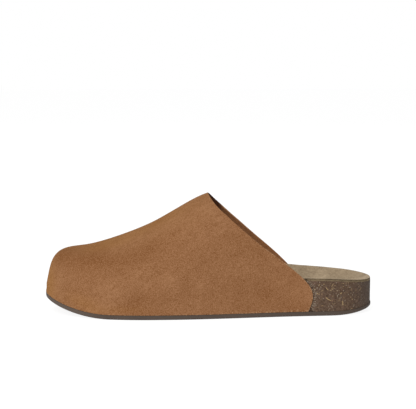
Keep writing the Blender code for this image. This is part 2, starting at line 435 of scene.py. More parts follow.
def makeChipGroup():
    # scattered oval chips on a flat map, each cell of it holding one or none
    inputs = {"Turn": 0.0, "Stretch": 1.0, "Cell": 0.002, "Reach": 0.3, "Share": 0.2}
    inputs["Place"] = (0.0, 0.0, 0.0)
    group, given, result = newGroup("scatteredChips", inputs, ("Mask", "Tone"))
    turned = turnedBy(group, given.outputs["Place"], given.outputs["Turn"], "Z_AXIS")
    shape = addNode(group, "ShaderNodeCombineXYZ", {0: given.outputs["Stretch"], 1: 1.0, 2: 1.0})
    drawn = vectorMath(group, "MULTIPLY", turned, shape.outputs[0])
    scale = calc(group, "DIVIDE", 1.0, given.outputs["Cell"])
    values = {"Vector": drawn, "Scale": scale}
    cell = addNode(group, "ShaderNodeTexVoronoi", values, voronoi_dimensions="2D")
    tones = addNode(group, "ShaderNodeSeparateColor", {0: cell.outputs["Color"]})
    reach = given.outputs["Reach"]
    solid = calc(group, "MULTIPLY", reach, 0.5)  # the outer half fades out
    inside = remap(group, cell.outputs["Distance"], reach, solid)
    used = calc(group, "LESS_THAN", tones.outputs[0], given.outputs["Share"])
    group.links.new(calc(group, "MULTIPLY", inside, used), result.inputs["Mask"])
    group.links.new(tones.outputs[1], result.inputs["Tone"])
    return group


def makeStripGroup():
    # one bent strip on a flat map
    inputs = {"Turn": 0.0, "Length": 0.003, "Width": 0.001, "Bend": 0.0}
    inputs["Place"] = inputs["Middle"] = (0.0, 0.0, 0.0)
    group, given, result = newGroup("bentStrip", inputs, ("Mask",))
    away = vectorMath(group, "SUBTRACT", given.outputs["Place"], given.outputs["Middle"])
    turned = turnedBy(group, away, given.outputs["Turn"], "Z_AXIS")
    parts = addNode(group, "ShaderNodeSeparateXYZ", {0: turned})
    along, across = parts.outputs[0], parts.outputs[1]
    sag = calc(group, "MULTIPLY", calc(group, "MULTIPLY", along, along), given.outputs["Bend"])
    across = calc(group, "ABSOLUTE", calc(group, "SUBTRACT", across, sag))
    along = calc(group, "ABSOLUTE", along)

    def fade(away, size, gone, solid):
        ends = [calc(group, "MULTIPLY", size, share) for share in (gone, solid)]
        return remap(group, away, *ends)

    sides = fade(across, given.outputs["Width"], 0.6, 0.3)
    ends = fade(along, given.outputs["Length"], 0.55, 0.35)
    group.links.new(calc(group, "MULTIPLY", sides, ends), result.inputs["Mask"])
    return group


napGroup = makeNapGroup()
mottleGroup = makeMottleGroup()
chipGroup = makeChipGroup()
stripGroup = makeStripGroup()
print("shader groups made")


# upper: one suede shell over the toe, open at the heel
upperShape = {
    "capSteps": 44,
    "sideSteps": 90,
    "wallSteps": 8,
    "domeSteps": 52,
    "edgeRound": 0.35,
    "edgeAngle": 50.0,
    "toeInset": 0.5,  # how far the toe's wall leans in above its foot
    "toeInsetAlong": (-64.0, -120.0),  # where that begins and is full
    "ridgeFade": 14.0,  # creases end this far from the middle
    "cutWander": 0.22,  # unevenness of the hand-cut edges
    "cutPitch": 3.0,
    "cutLength": 40.0,  # of the collar, for one unit of row
    "footWander": 0.22,
    "footPitch": 3.2,
    "fringe": 1.6,  # reach of the rubbed nap along the foot
    "collarFringe": (2.4, 0.64),  # and in front of the collar, where the rubbed nap and painted highlight begin and are full
    "collarRubAndHighlightHeights": (76.0, 58.0),  # the collar's rubbed nap and painted highlight lie below these
    "throatShadeAlong": (15.0, 10.0),  # painted shade darkens the deep throat in front of here
    "throatShadeHeights": (66.0, 84.0),
    "strokesMeet": (-12.0, 4.0),  # across the ridge, from the inner side's strokes to the outer's
}

# soft troughs and ridges of the moulded suede, as lines on one side
Crease = namedtuple("Crease", "side fromX fromZ toX toZ width depth")
creases = [
    Crease("outer", -80.0, 42.0, -40.0, 64.0, 8.0, 0.55),
    Crease("outer", -112.0, 44.0, -82.0, 46.0, 7.0, 0.40),
    Crease("outer", -66.0, 14.0, -56.0, 24.0, 8.0, 0.50),
    Crease("outer", -92.0, 13.0, -80.0, 30.0, 8.0, -0.45),
    Crease("outer", -40.0, 28.0, -28.0, 36.0, 6.0, -0.30),
    Crease("outer", 40.0, 16.0, 50.0, 30.0, 7.0, 0.35),
    Crease("outer", 64.0, 10.0, 68.0, 24.0, 5.0, 0.30),
    Crease("inner", -76.0, 44.0, -42.0, 66.0, 8.0, 0.50),
    Crease("inner", -70.0, 16.0, -52.0, 26.0, 9.0, 0.40),
    Crease("inner", 10.0, 40.0, 34.0, 30.0, 9.0, 0.35),
    Crease("inner", -104.0, 16.0, -96.0, 30.0, 7.0, -0.35),
]

# strokes of the nap brushed lighter or darker, along the outer side and up it; a few are painted light
# and shade, marked below
Stroke = namedtuple("Stroke", "along up long wide turn shade")
strokes = [
    Stroke(-85.0, 18.0, 15.0, 9.0, 55.0, 0.62),
    # painted light: the toe's front, lit from the toe's side
    Stroke(-132.0, 22.0, 16.0, 8.0, 90.0, 0.54),
    Stroke(-34.0, 32.0, 8.0, 7.0, 70.0, 0.55),
    Stroke(-61.0, 42.0, 13.0, 8.0, 20.0, 0.52),
    Stroke(-4.0, 88.0, 14.0, 8.0, 40.0, 0.40),
    Stroke(-29.0, 78.0, 12.0, 7.0, 30.0, 0.40),
    Stroke(-9.0, 29.0, 8.0, 7.0, 0.0, 0.40),
    Stroke(24.0, 42.0, 12.0, 8.0, 0.0, 0.30),
    Stroke(40.0, 15.0, 10.0, 6.0, 0.0, 0.10),
    # painted light: lifts the shade on the suede by the upper's edge at the tab
    Stroke(81.0, 23.0, 8.0, 7.0, 80.0, 0.55),
    Stroke(64.0, 23.0, 9.0, 9.0, 0.0, 0.32),
    Stroke(-14.0, 10.0, 16.0, 8.0, 0.0, 0.28),
    Stroke(-8.0, 70.0, 12.0, 6.0, 20.0, 0.25),
    Stroke(-105.0, 10.0, 16.0, 5.0, -15.0, 0.25),
    Stroke(-56.0, 30.0, 9.0, 8.0, 0.0, 0.40),
    Stroke(9.0, 80.0, 16.0, 8.0, -55.0, 0.35),
    Stroke(-64.0, 66.0, 30.0, 6.0, 30.0, 0.35),
    Stroke(-35.0, 76.0, 45.0, 9.0, 26.7, 0.18),
    # painted shade: the top of the toe, where it turns from the light
    Stroke(-100.0, 48.0, 26.0, 7.0, 4.0, -0.80),
    Stroke(-126.0, 54.0, 13.0, 6.0, 32.0, -1.05),
    Stroke(-134.0, 42.0, 8.0, 4.0, 75.0, 0.22),
    Stroke(-45.0, 77.0, 15.0, 2.5, 26.7, -0.45),
    Stroke(-61.0, 18.0, 13.0, 8.0, 20.0, -0.50),
    Stroke(-38.0, 18.0, 8.0, 5.0, 30.0, -0.30),
    Stroke(-21.0, 31.0, 7.0, 6.0, 90.0, -0.25),
    Stroke(44.0, 20.0, 8.0, 7.0, 0.0, -0.35),
    Stroke(-59.0, 52.0, 22.0, 8.0, 30.0, -0.50),
    Stroke(-44.0, 42.0, 6.0, 10.0, 0.0, -0.25),
    Stroke(18.0, 68.0, 14.0, 5.0, 0.0, -0.28),
    Stroke(38.0, 57.0, 9.0, 4.0, -45.0, -0.30),
    Stroke(66.0, 14.0, 5.0, 5.0, 0.0, -0.20),
    # painted shadow line along the foot by the tab
    Stroke(75.0, 5.0, 12.0, 3.0, 0.0, -0.45),
]

# golden strokes: mostly painted sheen, where the nap catches grazing light along the toe's front and
# the top of the profile, with a golden tone near the foot
goldAndSheenStrokes = [
    Stroke(-137.0, 25.0, 18.0, 6.0, 90.0, 0.62),
    Stroke(-106.0, 12.0, 16.0, 6.0, -20.0, 0.35),
    Stroke(-100.0, 57.0, 14.0, 3.0, 8.0, 0.35),
    Stroke(-84.0, 61.0, 16.0, 3.0, 19.0, 0.35),
    Stroke(-48.0, 76.0, 30.0, 3.0, 26.7, 0.35),
    Stroke(-35.0, 78.0, 48.0, 11.0, 26.7, 0.12),
    Stroke(-74.0, 8.0, 18.0, 4.0, 0.0, 0.20),
]

# light and dark strokes of the inner side
innerStrokes = [
    Stroke(-96.0, 24.0, 14.0, 8.0, 60.0, 0.60),
    Stroke(-58.0, 30.0, 12.0, 8.0, 35.0, 0.50),
    Stroke(-14.0, 40.0, 16.0, 9.0, 50.0, 0.50),
    Stroke(28.0, 32.0, 12.0, 7.0, 20.0, 0.40),
    Stroke(-34.0, 74.0, 16.0, 7.0, 35.0, 0.40),
    Stroke(58.0, 24.0, 8.0, 6.0, 70.0, 0.40),
    Stroke(-78.0, 20.0, 12.0, 8.0, 40.0, -0.60),
    Stroke(-36.0, 22.0, 12.0, 7.0, 25.0, -0.45),
    Stroke(8.0, 26.0, 12.0, 7.0, 10.0, -0.40),
    Stroke(42.0, 22.0, 9.0, 8.0, 60.0, -0.45),
    Stroke(-56.0, 54.0, 22.0, 8.0, 30.0, -0.50),
    Stroke(-98.0, 46.0, 20.0, 7.0, 8.0, -0.55),
]


def toeStep(x):
    return upperShape["toeInset"] * ease(x, *upperShape["toeInsetAlong"])


def shellPoint(side, x, row):
    # rows -1 to 0 stand up along the sole, rows 0 to 1 arch over to the ridge
    y = edgeY(side, x)
    middleX = softFloor(x, last["toeCentre"], last["fanBlend"])
    middleY = last["ballWidth"] * sectionAt("lean", middleX)
    inset = 1 - toeStep(x) * ease(row, -1.0, -0.5) / math.hypot(x - middleX, y - middleY)
    fuzz = 0.5 + 0.5 * noise.noise(Vector((x, y, 0.0)) / upperShape["footPitch"])
    foot = soleTop(x) + last["glueLine"] + upperShape["footWander"] * fuzz
    drop = last["toeDrop"] * (1 - ease(x, last["leanFrom"], last["leanTo"]))
    wall = rimHeight(side, x) + last["rimMargin"] - drop
    if row <= 0:
        standing = foot + (wall - foot) * (row + 1)
        return middleX + (x - middleX) * inset, middleY + (y - middleY) * inset, standing
    power = 2 / sectionAt("fullness", x)
    rise = math.sin(row * math.pi / 2) ** power
    reach = max(math.cos(row * math.pi / 2), 0.0) ** power
    reach *= inset * (1 - sectionAt("taper", x) * rise)
    along = middleX + (x - middleX) * reach
    across = middleY + (y - middleY) * reach
    ridge = last["instepHeight"] * sectionAt("ridge", along)
    return along, across, wall + (ridge - wall) * rise


def collarEnd(side, row):
    # place along the shoe where a row meets the rear edge
    low, high = last["toeCentre"] + last["fanBlend"], last["heelCentre"]
    for _ in range(40):  # halved until it is exact
        middle = (low + high) / 2
        height = shellPoint(side, middle, row)[2] / last["instepHeight"]
        if middle < heelBack * collarCurves[side](height):
            low = middle
        else:
            high = middle
    return (low + high) / 2


def shellRow(row):
    capEnd = last["toeCentre"] + last["fanBlend"]
    capSteps, sideSteps = upperShape["capSteps"], upperShape["sideSteps"]
    ends = {side: collarEnd(side, row) for side in sideSign}
    halves = {}
    for side in sideSign:
        rear = ends[side] if row < 1 else (ends["outer"] + ends["inner"]) / 2
        if row < 1:
            seed = Vector((row * upperShape["cutLength"], sideSign[side] * 7.0, 0.3))
            rear += upperShape["cutWander"] * noise.noise(seed / upperShape["cutPitch"])
        turns = [math.pi / 2 * i / capSteps for i in range(capSteps)]
        places = [toeTip + (capEnd - toeTip) * (1 - math.cos(turn)) for turn in turns]
        places += [capEnd + (rear - capEnd) * i / sideSteps for i in range(sideSteps + 1)]
        halves[side] = [shellPoint(side, x, row) for x in places]
    return halves["outer"][::-1] + halves["inner"][1:]


def strokeShade(rows, along, up):
    shade = 0.0
    for row in rows:
        turn = math.radians(row.turn)
        right, rise = along - row.along, up - row.up
        lengthwise = right * math.cos(turn) + rise * math.sin(turn)
        sideways = rise * math.cos(turn) - right * math.sin(turn)
        shade += row.shade * math.exp(-((lengthwise / row.long) ** 2) - (sideways / row.wide) ** 2)
    return shade


def creaseDepth(x, y, z):
    depth = 0.0
    for crease in creases:
        fade = ease(y * sideSign[crease.side], 0.0, upperShape["ridgeFade"])
        spanX, spanZ = crease.toX - crease.fromX, crease.toZ - crease.fromZ
        share = ((x - crease.fromX) * spanX + (z - crease.fromZ) * spanZ) / (spanX**2 + spanZ**2)
        share = min(max(share, 0.0), 1.0)
        away = math.hypot(x - crease.fromX - spanX * share, z - crease.fromZ - spanZ * share)
        depth += crease.depth * fade * math.exp(-((away / crease.width) ** 2))
    return depth


suedeLook = {
    "dark": (0.159, 0.0597, 0.0182, 1.0),
    "light": (0.322, 0.1625, 0.0795, 1.0),
    # tint of the golden strokes: painted sheen and golden tone
    "sheenAndGoldTint": (1.06, 1.02, 0.66, 1.0),
    "nap": {"Fibre Size": 0.0007, "Grain Size": 0.0014, "Tuft Size": 0.0032, "Patch Size": 0.016},
    "shares": {"Fibre": 1.16, "Grain": 0.12, "Tuft": 0.09, "Streak": 0.13, "Patch": 0.14},
    "strokes": 0.34,
    "bump": 0.35,
    "bumpDepth": 0.0003,
    # pale rubbed nap along the foot and, in front of the collar, a painted highlight of the cut edge
    "fringe": {"attribute": "rubAndHighlight", "colour": (0.420, 0.245, 0.135, 1.0)},
    "shader": {
        "Metallic": 0.0,
        "Specular IOR Level": 0.03,
        "Sheen Weight": 0.10,
        "Sheen Roughness": 0.45,
        "Sheen Tint": (1.0, 0.52, 0.14, 1.0),
    },
}

liningLook = {
    "dark": (0.173, 0.071, 0.029, 1.0),
    "light": (0.336, 0.151, 0.064, 1.0),
    "nap": {"Fibre Size": 0.0006, "Grain Size": 0.0018, "Tuft Size": 0.004, "Patch Size": 0.012},
    "shares": {"Fibre": 0.40, "Grain": 0.60, "Tuft": 0.25, "Streak": 0.15, "Patch": 0.25},
    "bump": 0.45,
    "bumpDepth": 0.0004,
    # painted shade deep in the throat
    "paintedShadow": {"attribute": "throatPaintedShade", "colour": (0.115, 0.044, 0.021, 1.0)},
    "shader": {"Metallic": 0.0, "Specular IOR Level": 0.12},
}

cutEdgeLook = {
    "dark": (0.270, 0.140, 0.072, 1.0),
    "light": (0.500, 0.300, 0.170, 1.0),
    "nap": {"Fibre Size": 0.0004, "Grain Size": 0.0012, "Tuft Size": 0.003, "Patch Size": 0.008},
    "shares": {"Fibre": 0.45, "Grain": 0.60, "Tuft": 0.30, "Patch": 0.25},
    "bump": 0.50,
    "bumpDepth": 0.0003,
    # painted shade on the cut edge deep in the throat
    "paintedShadow": {"attribute": "throatPaintedShade", "colour": (0.050, 0.021, 0.011, 1.0)},
    "shader": {"Metallic": 0.0, "Specular IOR Level": 0.10},
}


suedeWearAndLight = {
    "strokeBreak": 1.2,  # streaks and tufts break the strokes up
    "rubGrain": 2.0,  # grain breaks up the fringe of rubbed nap and painted highlight
    "rubRange": (0.7, 1.5),
    "grainRange": (-0.6, 0.6),
    "roughness": (0.86, 1.0),
}


def makeSuede(name, look):
    material, tree, shader = newMaterial(name, look)
    nap = placeGroup(tree, napGroup, look["nap"])
    shade = 0.5
    for label, share in look["shares"].items():
        shade = calc(tree, "MULTIPLY_ADD", nap.outputs[label], share, shade)
    if "strokes" in look:
        broken = calc(tree, "ADD", nap.outputs["Streak"], nap.outputs["Tuft"])
        broken = calc(tree, "MULTIPLY_ADD", broken, suedeWearAndLight["strokeBreak"], 1.0)
        # strokes of nap tone, some of them painted light and shade
        brushedAndLit = calc(tree, "MULTIPLY", paintedShade(tree, "napAndLightShade"), broken)
        shade = calc(tree, "MULTIPLY_ADD", brushedAndLit, look["strokes"], shade)
    colour = blendColour(tree, shade, look["dark"], look["light"])
    if "sheenAndGoldTint" in look:
        # golden strokes: painted sheen and golden tone
        golden = paintedShade(tree, "goldAndSheenShade")
        colour = blendColour(tree, golden, colour, look["sheenAndGoldTint"], "MULTIPLY")
    if "fringe" in look:
        # pale fringe: rubbed nap, and a painted highlight in front of the collar
        edge = paintedShade(tree, look["fringe"]["attribute"])
        rubbedAndLit = calc(tree, "MULTIPLY_ADD", nap.outputs["Grain"], suedeWearAndLight["rubGrain"], edge)
        rubbedAndLit = calc(tree, "MULTIPLY", remap(tree, rubbedAndLit, *suedeWearAndLight["rubRange"]), edge)
        colour = blendColour(tree, rubbedAndLit, colour, look["fringe"]["colour"])
    if "paintedShadow" in look:
        # painted shade or shadow, where the look has one
        paintedShadow = paintedShade(tree, look["paintedShadow"]["attribute"])
        colour = blendColour(tree, paintedShadow, colour, look["paintedShadow"]["colour"])
    rough = remap(tree, nap.outputs["Grain"], *suedeWearAndLight["grainRange"], *suedeWearAndLight["roughness"])
    joinSurface(tree, shader, look, colour, rough, nap.outputs["Height"])
    return material


def makeUpper():
    wallSteps, domeSteps = upperShape["wallSteps"], upperShape["domeSteps"]
    levels = [i / wallSteps - 1 for i in range(wallSteps)]
    levels += [i / domeSteps for i in range(domeSteps + 1)]
    piece = meshFromRings("upper_suede", [shellRow(level) for level in levels], False)
    data = piece.data
    shades = {"napAndLightShade": [], "goldAndSheenShade": [], "throatPaintedShade": [], "rubAndHighlight": []}
    for vert in data.vertices:
        x, y, z = vert.co / mm
        outerSide = ease(-y, *upperShape["strokesMeet"])
        innerSide = strokeShade(innerStrokes, x, z) * (1 - outerSide)
        shades["napAndLightShade"].append(strokeShade(strokes, x, z) * outerSide + innerSide)
        shades["goldAndSheenShade"].append(strokeShade(goldAndSheenStrokes, x, z))
        # painted shade deep in the throat
        throatShadeShare = ease(x, *upperShape["throatShadeAlong"])
        shades["throatPaintedShade"].append(throatShadeShare * ease(z, *upperShape["throatShadeHeights"]))
        foot = soleTop(x)
        side = "outer" if y < 0 else "inner"
        rear = heelBack * collarCurves[side](z / last["instepHeight"])
        begins, full = upperShape["collarFringe"]
        # rubbed nap along the foot, and a painted highlight in front of the collar
        collarRubAndHighlight = ease(x, rear - begins, rear - full) * ease(z, *upperShape["collarRubAndHighlightHeights"])
        shades["rubAndHighlight"].append(max(ease(z, foot + upperShape["fringe"], foot), collarRubAndHighlight))
        vert.co -= vert.normal * creaseDepth(x, y, z) * mm
    for label, values in shades.items():
        data.attributes.new(label, "FLOAT", "POINT").data.foreach_set("value", values)
    wall = piece.modifiers.new("wall", "SOLIDIFY")
    wall.thickness = last["upperWall"] * mm
    wall.offset = -1.0
    wall.use_even_offset = True
    wall.use_quality_normals = True
    wall.material_offset = 1
    wall.material_offset_rim = 2
    rim = piece.modifiers.new("cut edge", "BEVEL")
    rim.width = upperShape["edgeRound"] * mm
    rim.segments = 2
    rim.limit_method = "ANGLE"
    rim.angle_limit = math.radians(upperShape["edgeAngle"])
    finishes = [
        makeSuede("tanSuede", suedeLook),
        makeSuede("roughInside", liningLook),
        makeSuede("cutSuedeEdge", cutEdgeLook),
    ]
    dress(piece, "upper", finishes)


makeUpper()


# cork footbed: pressed granules with pale slivers, standing proud behind the upper
corkShape = {
    "stations": 300,
    "sideRows": 22,
    "baseShares": (0.0, 0.3, 0.6, 0.85),  # rings from the middle of the base to its edge
    "topShares": (0.95, 0.8, 0.5, 0.25, 0.0),
    "sharpAngle": 50.0,
    "heelFootInset": 0.5,
    "heelRimInset": 0.3,
    "footStep": (84.0, 90.0),  # where the side comes out from behind the upper
    "rimStep": (81.5, 88.0),
    "topInset": 1.0,
    "pitDepth": 0.16,
    "pitSize": 1.3,
}

corkLook = {
    "dark": (0.0685, 0.0390, 0.0228, 1.0),
    "light": (0.119, 0.0740, 0.0475, 1.0),
    "red": (0.124, 0.069, 0.045, 1.0),
    "sliver": (0.380, 0.258, 0.125, 1.0),
    "speck": (0.290, 0.238, 0.178, 1.0),
    "pit": (0.042, 0.027, 0.019, 1.0),
    # painted shadow right behind the upper's edge
    "edge": (0.022, 0.014, 0.010, 1.0),
    # painted shade at the rear end, turned from the light
    "heel": (0.058, 0.044, 0.037, 1.0),
    "granules": {"Cell": 0.0009, "Reach": 0.9, "Share": 1.0},
    "flakes": {"Cell": 0.0021, "Reach": 0.5, "Share": 0.25, "Stretch": 0.6, "Turn": 0.5},
    "pits": {"Cell": 0.0014, "Reach": 0.42, "Share": 0.10},
    "specks": {"Cell": 0.0011, "Reach": 0.42, "Share": 0.06},
    "tabSpecks": {"Cell": 0.0009, "Reach": 0.48, "Share": 0.42},
    "tabReach": (0.0065, 0.00195),  # pale crumbs behind the upper's edge, from none to full
    "edgeReach": 0.0009,  # shade right behind that edge
    "edgeDepth": 0.6,
    "heelShadeAlong": (0.116, 0.138),  # painted shade: the rear end, turned away from the light, is darker
    "heelShadeDepth": 0.55,
    "curl": 0.0016,
    "curlScale": 300.0,
    "mottle": {"Cloud Size": 0.012, "Pebble Size": 0.0010},
    "cloud": 0.22,
    "pebble": 0.40,
    "roughness": (0.95, 0.75),
    "sliverRise": 0.6,
    "mottleRise": 0.5,
    "bump": 0.4,
    "bumpDepth": 0.0004,
    "shader": {"Metallic": 0.0, "Specular IOR Level": 0.25},
}

# layers of scattered slivers: turned by degrees, in cells of so many metres, reach as a share of a cell
Sliver = namedtuple("Sliver", "turn cell stretch reach share")
sliverLayers = [
    Sliver(35.0, 0.0020, 0.24, 0.15, 0.07),
    Sliver(-48.0, 0.0020, 0.26, 0.15, 0.07),
    Sliver(80.0, 0.0017, 0.32, 0.16, 0.08),
    Sliver(10.0, 0.0012, 0.50, 0.24, 0.16),
]

# the plainest golden slivers of the outer side, placed one by one
Strip = namedtuple("Strip", "x z long wide turn bend shade")
strips = [
    Strip(92.1, 26.6, 1.5, 1.1, 80.0, 0.00, 0.35),
    Strip(95.9, 27.0, 1.2, 0.8, 60.0, 0.10, 0.7),
    Strip(98.5, 23.1, 3.6, 0.5, -50.0, 0.12, 0.9),
    Strip(102.5, 22.0, 3.2, 0.5, 35.0, 0.15, 0.6),
    Strip(103.1, 26.1, 3.8, 0.5, 60.0, -0.12, 0.7),
    Strip(99.7, 14.1, 5.6, 0.6, -32.0, 0.04, 1.0),
    Strip(112.1, 10.5, 4.2, 0.7, -75.0, 0.06, 0.9),
    Strip(110.5, 18.8, 1.2, 0.8, 0.0, 0.00, 0.8),
    Strip(128.3, 21.1, 3.6, 0.7, 45.0, 0.10, 0.8),
    Strip(94.0, 21.4, 1.8, 0.7, 20.0, 0.00, 0.4),
    Strip(109.3, 13.1, 2.4, 0.6, 50.0, 0.10, 0.5),
    Strip(119.3, 15.0, 1.4, 0.7, 0.0, 0.00, 0.5),
    Strip(94.6, 8.8, 1.6, 0.7, 30.0, 0.00, 0.5),
    Strip(120.0, 21.6, 2.5, 0.6, 85.0, 0.00, 0.4),
    Strip(124.2, 20.6, 2.2, 0.6, 80.0, 0.00, 0.4),
]


def stepOut(x, heelInset, places):
    # inside the upper's wall, then out to the heel's side
    hidden = last["upperWall"] + last["seam"] + toeStep(x)
    return hidden + (heelInset - hidden) * ease(x, *places)


def footInset(x):
    return stepOut(x, corkShape["heelFootInset"], corkShape["footStep"])


def rimInset(x):
    leaning = corkShape["topInset"] * (1 - ease(x, last["leanFrom"], last["leanTo"]))
    return leaning + stepOut(x, corkShape["heelRimInset"], corkShape["rimStep"])


def makeCorkFinish(arcAt):
    look = corkLook
    material, tree, shader = newMaterial("pressedCork", look)
    sheet = addNode(tree, "ShaderNodeAttribute", attribute_name="corkMap").outputs["Vector"]
    behindTab = addNode(tree, "ShaderNodeSeparateXYZ", {0: sheet}).outputs[2]
    mottle = placeGroup(tree, mottleGroup, look["mottle"])
    wander = noiseAt(tree, sheet, look["curlScale"], 2.0).outputs["Color"]
    wander = vectorMath(tree, "SUBTRACT", wander, (0.5, 0.5, 0.5))
    curled = vectorMath(tree, "MULTIPLY_ADD", wander, (look["curl"], look["curl"], 0.0), sheet)

    def chips(values):
        return placeGroup(tree, chipGroup, {"Place": curled, **values})

    granules = chips(look["granules"])
    shade = granules.outputs["Tone"]
    shade = calc(tree, "MULTIPLY_ADD", mottle.outputs["Cloud"], look["cloud"], shade)
    shade = calc(tree, "MULTIPLY_ADD", mottle.outputs["Pebble"], look["pebble"], shade)
    colour = blendColour(tree, shade, look["dark"], look["light"])
    flakes = chips(look["flakes"])
    faint = calc(tree, "MULTIPLY", flakes.outputs["Mask"], flakes.outputs["Tone"])
    colour = blendColour(tree, faint, colour, look["red"])
    pits = chips(look["pits"]).outputs["Mask"]
    colour = blendColour(tree, pits, colour, look["pit"])
    nearTab = remap(tree, behindTab, *look["tabReach"])
    crumbs = calc(tree, "MULTIPLY", chips(look["tabSpecks"]).outputs["Mask"], nearTab)
    specks = calc(tree, "MAXIMUM", chips(look["specks"]).outputs["Mask"], crumbs)
    colour = blendColour(tree, specks, colour, look["speck"])
    raised = calc(tree, "MULTIPLY_ADD", pits, -1.0, specks)
    golden = 0.0
    for layer in sliverLayers:
        values = {"Turn": math.radians(layer.turn), "Stretch": layer.stretch, "Cell": layer.cell}
        scattered = chips({**values, "Reach": layer.reach, "Share": layer.share})
        bright = calc(tree, "MULTIPLY", scattered.outputs["Mask"], scattered.outputs["Tone"])
        golden = calc(tree, "MAXIMUM", bright, golden)
    for strip in strips:
        values = {
            "Place": sheet,
            "Middle": (arcAt(strip.x) * mm, strip.z * mm, 0.0),
            "Turn": math.radians(-strip.turn),
            "Length": strip.long * mm,
            "Width": strip.wide * mm,
            "Bend": strip.bend / mm,
        }
        placed = placeGroup(tree, stripGroup, values).outputs["Mask"]
        golden = calc(tree, "MAXIMUM", calc(tree, "MULTIPLY", placed, strip.shade), golden)
    colour = blendColour(tree, golden, colour, look["sliver"])
    # painted shadow cast by the upper's edge onto the cork
    shaded = remap(tree, behindTab, look["edgeReach"], 0.0, 0.0, look["edgeDepth"])
    colour = blendColour(tree, shaded, colour, look["edge"])
    # painted shade at the rear end
    rear = remap(tree, placeAlong(tree), *look["heelShadeAlong"], 0.0, look["heelShadeDepth"])
    colour = blendColour(tree, rear, colour, look["heel"])
    rough = remap(tree, shade, 0.0, 1.0, *look["roughness"])
    raised = calc(tree, "MULTIPLY_ADD", golden, look["sliverRise"], raised)
    raised = calc(tree, "MULTIPLY_ADD", mottle.outputs["Height"], look["mottleRise"], raised)
    joinSurface(tree, shader, look, colour, rough, raised)
    return material


def makeCork():
    stations, rows = corkShape["stations"], corkShape["sideRows"]
    drop = last["insoleThickness"] + last["glueLine"]
    edge = outlineLoop(footInset, stations)
    rim = outlineLoop(rimInset, stations)

    def base(side, x, along, share):
        return soleTop(along) + last["glueLine"]

    def top(side, x, along, share):
        return footbedHeight(side, x, share) - drop

    rings = [ringAt(edge, share, base) for share in corkShape["baseShares"]]
    low = np.array(ringAt(edge, 1.0, base))
    high = np.array(ringAt(rim, 1.0, top))
    steps = np.hypot(*np.diff(np.vstack([low, low[:1]])[:, :2], axis=0).T)
    around = np.concatenate([[0.0], np.cumsum(steps)[:-1]])
    for r in range(rows + 1):
        points = low + (high - low) * (r / rows)
        for i, point in enumerate(points):
            away = np.array(point[:2]) - np.array(spineAt(edge[i][2]))
            away /= max(np.hypot(*away), 1.0)
            dent = noise.noise(Vector(point) / corkShape["pitSize"])
            push = corkShape["pitDepth"] * min(dent, 0.0) * math.sin(math.pi * r / rows)
            points[i, :2] += away * push
        rings.append([tuple(point) for point in points])
    rings += [ringAt(rim, share, top) for share in corkShape["topShares"]]
    outer = slice(0, stations + 1)

    def arcAt(x):
        return np.interp(x, low[outer, 0], around[outer])

    def tabDistance(i, point):
        side = "outer" if i <= stations else "inner"
        return point[0] - heelBack * collarCurves[side](point[2] / last["instepHeight"])

    # along the outline, up the side, and how far behind the upper's edge
    sheet = []
    for ring in rings:
        row = [(around[i], point[2], tabDistance(i, point)) for i, point in enumerate(ring)]
        sheet.append([np.array(place) * mm for place in row])
    piece = meshFromRings("footbed_cork", rings, True, maps={"corkMap": sheet})
    piece.data.set_sharp_from_angle(angle=math.radians(corkShape["sharpAngle"]))
    dress(piece, "midsole", [makeCorkFinish(arcAt)])


makeCork()


# insole: beige suede over a board, its cut edge showing round the heel
insoleShape = {
    "stations": 260,
    "topRings": 34,
    "underShares": (0.95, 0.8, 0.5, 0.25, 0.0),
    "sharpAngle": 60.0,
    "rimRound": 0.5,
    "rimBevel": 0.15,
    "edgeRows": 4,
    "edgeWander": 0.10,
    "edgePitch": 4.0,
    "seamShadow": (1.0, 1.0, 0.6),  # painted shadow line on the first rows below the top
    "shadowMean": 0.6,
    "shadowPitch": 4.0,
    "cornerX": 80.9,  # painted shadow in the corner where the upper's edge leaves the rim
    "cornerReach": 1.7,
}

insoleLook = {
    "dark": (0.200, 0.144, 0.085, 1.0),
    "light": (0.420, 0.320, 0.208, 1.0),
    "nap": {"Fibre Size": 0.0006, "Grain Size": 0.0016, "Tuft Size": 0.005, "Patch Size": 0.014},
    "shares": {"Fibre": 0.42, "Grain": 0.55, "Tuft": 0.28, "Streak": 0.20, "Patch": 0.25},
    "strokes": 0.40,
    "bump": 0.30,
    "bumpDepth": 0.0003,
    "shader": {
        "Metallic": 0.0,
        "Specular IOR Level": 0.15,
        "Sheen Weight": 0.15,
        "Sheen Roughness": 0.5,
        "Sheen Tint": (1.0, 0.92, 0.80, 1.0),
    },
}

insoleEdgeLook = {
    "dark": (0.095, 0.067, 0.038, 1.0),
    "light": (0.250, 0.186, 0.110, 1.0),
    "nap": {"Fibre Size": 0.0005, "Grain Size": 0.0014, "Tuft Size": 0.003, "Patch Size": 0.006},
    "shares": {"Fibre": 0.40, "Grain": 0.70, "Tuft": 0.35, "Patch": 0.30},
    "bump": 0.60,
    "bumpDepth": 0.0004,
    # painted shadow line under the rim and in the corner by the upper's edge
    "paintedShadow": {"attribute": "rimShade", "colour": (0.040, 0.027, 0.016, 1.0)},
    "shader": {"Metallic": 0.0, "Specular IOR Level": 0.12},
}

# strokes of the insole's nap, along the shoe and across it
insoleStrokes = [
    Stroke(126.0, -8.0, 14.0, 14.0, 0.0, 0.80),
    Stroke(114.0, 10.0, 10.0, 10.0, 0.0, -0.50),
    Stroke(105.0, -6.0, 18.0, 7.0, 60.0, -0.50),
    Stroke(101.0, 16.0, 8.0, 14.0, 0.0, 0.50),
    Stroke(94.0, 0.0, 8.0, 10.0, 0.0, 0.30),
    Stroke(78.0, 20.0, 12.0, 14.0, 0.0, -0.30),
]


